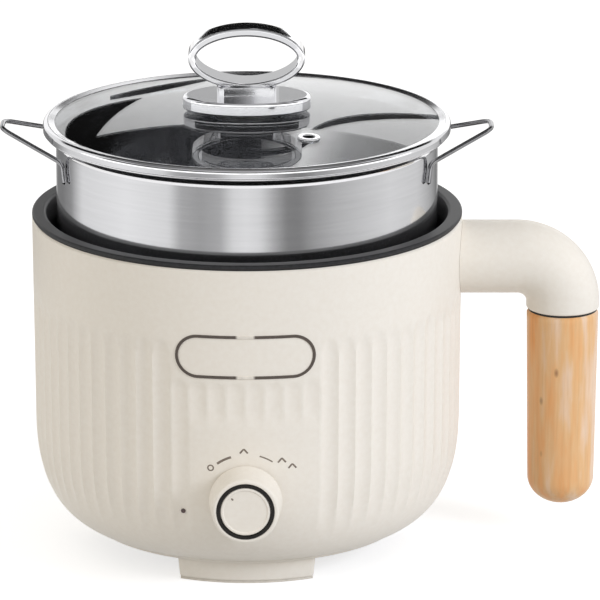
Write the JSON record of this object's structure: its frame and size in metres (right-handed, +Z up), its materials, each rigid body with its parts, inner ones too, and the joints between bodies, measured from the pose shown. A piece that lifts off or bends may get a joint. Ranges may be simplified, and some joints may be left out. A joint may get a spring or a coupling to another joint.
{
  "type": "electric food steamer",
  "caption": "Electric steamer pot with a fluted shell, turning dial, wood-gripped side handle, lift-out steel basket with wire handles, and a lift-off glass lid with a loop knob.",
  "frame": {"origin": "on the pot's axis, in the plane of the table that the pads stand on", "axes": "+Z up along the pot's axis, +X towards the side handle, -Y towards the dial"},
  "size_m": [0.2676, 0.2114, 0.2371],
  "materials": {
    "cream_plastic": "satin cream moulding",
    "pad_rubber": "matt pale rubber",
    "pot_coating": "dark non-stick coating on aluminium",
    "seal_rubber": "black silicone",
    "aluminium": "cast",
    "steel_parts": "plain zinc-plated steel",
    "brass_parts": "plain brass",
    "white_plastic": "heat-proof white plastic",
    "lamp_plastic": "dark red lens",
    "black_plastic": "fine-grained black plastic",
    "wire_insulation": "insulated leads",
    "badge_line": "grey-brown inlaid line",
    "wood_grip": "oiled light wood",
    "dark_ring": "dark satin ring",
    "basket_steel": "polished stainless steel",
    "lid_steel": "polished stainless steel",
    "lid_glass": "clear tempered glass",
    "soft_washer": "pale silicone",
    "knob_chrome": "polished chrome plating"
  },
  "bodies": {
    "base": {"outer_shell": "cream_plastic", "base_cover": "cream_plastic", "handle_arm": "cream_plastic", "foot_pads": "pad_rubber", "inner_pot": "pot_coating", "pot_collar": "pot_coating", "rim_seal": "seal_rubber", "grip_ring": "seal_rubber", "heating_plate": "aluminium", "base_screws": "steel_parts", "pot_standoffs": "steel_parts", "heating_ring": "steel_parts", "heat_shield": "steel_parts", "shield_studs": "steel_parts", "shield_nuts": "steel_parts", "thermostat_strap": "steel_parts", "strap_screws": "steel_parts", "fuse_clip": "steel_parts", "switch_nut": "steel_parts", "inlet_screws": "steel_parts", "handle_bracket": "steel_parts", "handle_screws": "steel_parts", "handle_rod": "steel_parts", "heater_terminals": "brass_parts", "inlet_pins": "brass_parts", "terminal_screws": "brass_parts", "grip_insert": "brass_parts", "thermostat": "white_plastic", "thermal_fuse": "white_plastic", "rotary_switch": "white_plastic", "terminal_block": "white_plastic", "indicator_lens": "lamp_plastic", "indicator_lamp": "lamp_plastic", "power_inlet": "black_plastic", "wiring": "wire_insulation", "badge_frame": "badge_line", "handle_grip": "wood_grip"},
    "basket": {"steamer_basket": "basket_steel", "basket_handle_left": "basket_steel", "basket_handle_right": "basket_steel"},
    "lid": {"lid_glass": "lid_glass", "lid_rim": "lid_steel", "lid_vent": "lid_steel", "knob_washer": "soft_washer", "knob_disc": "knob_chrome", "lid_loop": "knob_chrome", "lid_screw": "steel_parts", "screw_washer": "pad_rubber"},
    "dial": {"control_knob": "cream_plastic", "knob_ring": "dark_ring", "knob_cap": "cream_plastic", "switch_shaft": "steel_parts"}
  },
  "joints": [
    {"name": "basket_lift", "type": "slide", "parent": "base", "child": "basket", "axis": [0, 0, 1], "range_m": [0, 0.08]},
    {"name": "lid_lift", "type": "slide", "parent": "basket", "child": "lid", "axis": [0, 0, 1], "range_m": [0, 0.08]},
    {"name": "dial_turn", "type": "hinge", "parent": "base", "child": "dial", "pos_m": [0, -0.1, 0.0476], "axis": [0, 1, 0], "range_deg": [0, 90]}
  ]
}
